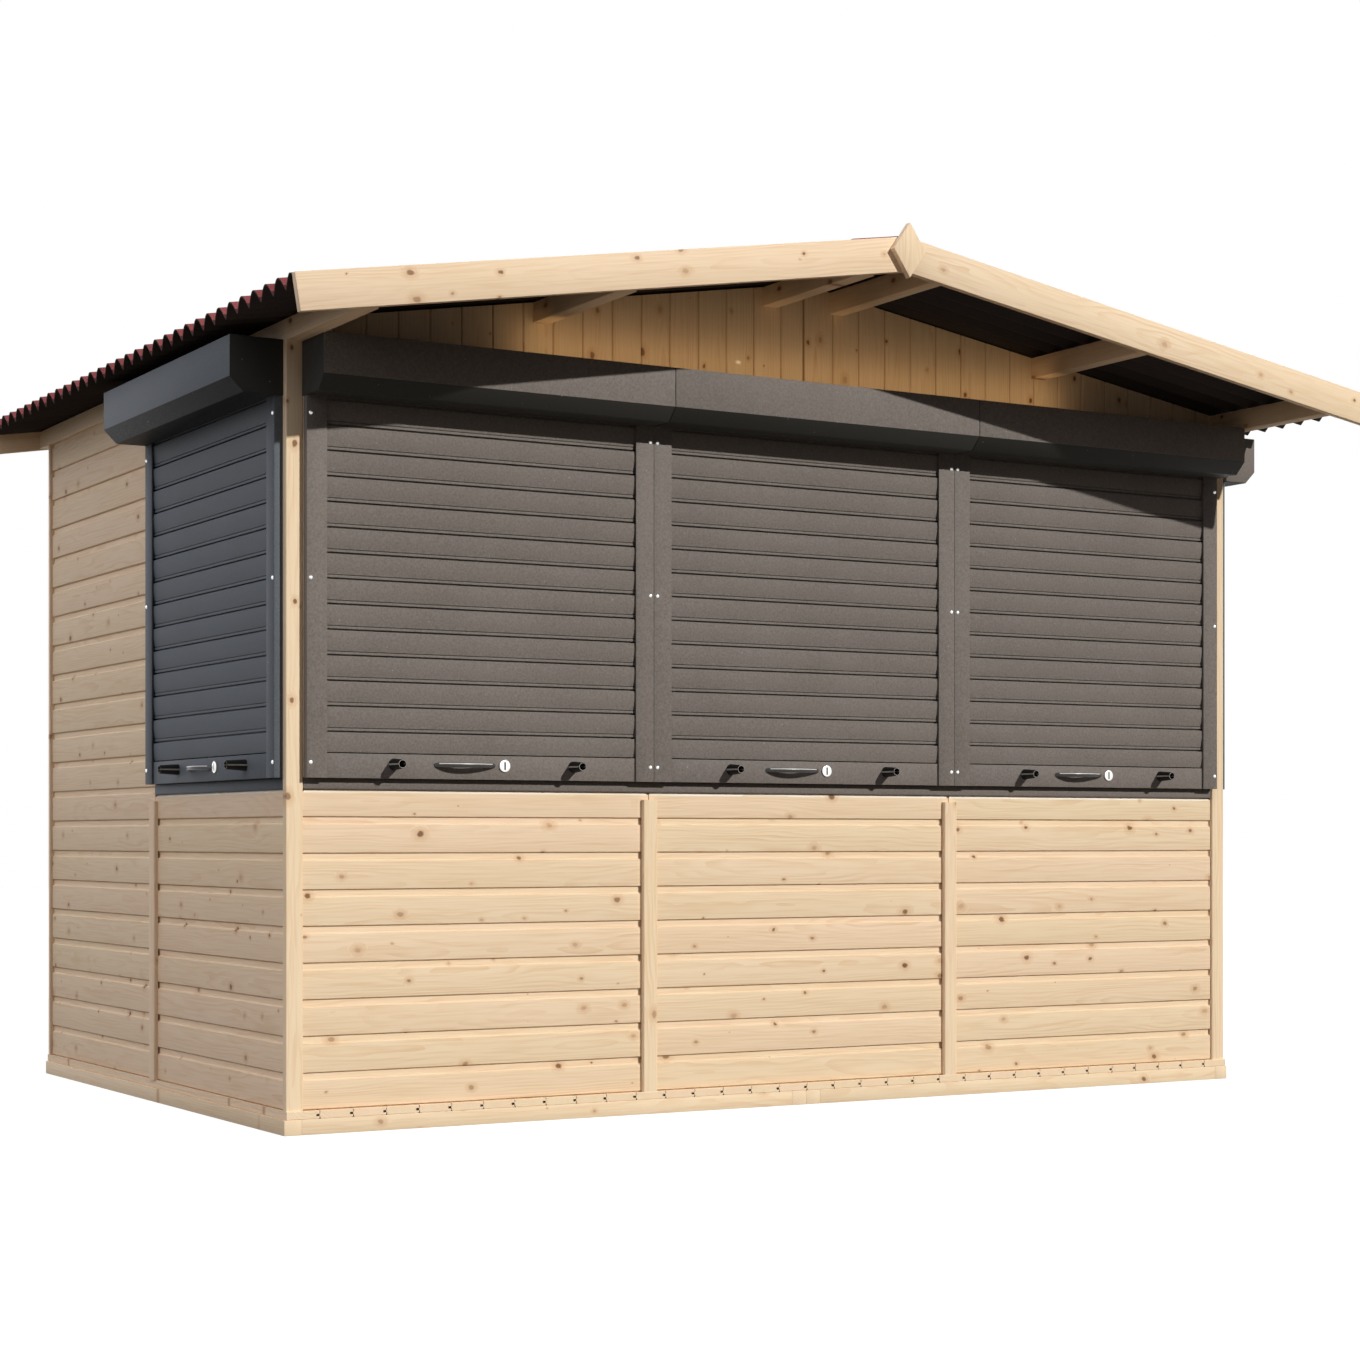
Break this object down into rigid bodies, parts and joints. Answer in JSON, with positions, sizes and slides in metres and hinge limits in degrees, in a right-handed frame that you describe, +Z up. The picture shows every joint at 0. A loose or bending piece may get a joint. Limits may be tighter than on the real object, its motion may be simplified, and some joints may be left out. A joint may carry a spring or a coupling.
{
  "type": "wooden market hut",
  "caption": "Boarded timber market hut with roller shutters on its front and sides, a low gable roof of corrugated sheets, bargeboards and a plain back door",
  "frame": {"origin": "under the middle of the whole hut's box, on the ground", "axes": "+Z up, front with the long shutter row faces -Y, +X to the right seen from the front"},
  "size_m": [3.3256, 2.556, 2.2801],
  "materials": {
    "spruce": "planed, untreated",
    "shutter_metal": "fine-textured powder coat",
    "roof_sheet": "matt bitumen fibre",
    "black_plastic": "moulded",
    "black_rubber": "moulded",
    "lock_metal": "satin",
    "zinc_steel": "zinc plated"
  },
  "bodies": {
    "root": {"base_frame_left": "spruce", "base_frame_right": "spruce", "floor_deck": "spruce", "front_apron_left": "spruce", "front_apron_middle": "spruce", "front_apron_right": "spruce", "side_aprons": "spruce", "left_rear_wall": "spruce", "right_rear_wall": "spruce", "back_wall_left": "spruce", "back_wall_right": "spruce", "back_lintel": "spruce", "back_door": "spruce", "door_hinges": "zinc_steel", "corner_trims": "spruce", "cover_strips": "spruce", "front_studs": "spruce", "side_studs": "spruce", "front_header": "spruce", "side_headers": "spruce", "front_gable_left": "spruce", "front_gable_right": "spruce", "back_gable": "spruce", "purlins": "spruce", "roof_sheet_left": "roof_sheet", "roof_sheet_right": "roof_sheet", "ridge_cap": "roof_sheet", "left_bargeboards": "spruce", "right_bargeboards": "spruce", "finials": "spruce", "front_sill": "shutter_metal", "side_sills": "shutter_metal", "front_guides": "shutter_metal", "side_guides": "shutter_metal", "front_box_left": "shutter_metal", "front_box_middle": "shutter_metal", "front_box_right": "shutter_metal", "side_boxes": "shutter_metal", "front_curtain_left": "shutter_metal", "front_curtain_middle": "shutter_metal", "front_curtain_right": "shutter_metal", "side_curtains": "shutter_metal", "pull_handles": "black_plastic", "locks": "lock_metal", "rubber_stops": "black_rubber"}
  },
  "joints": []
}
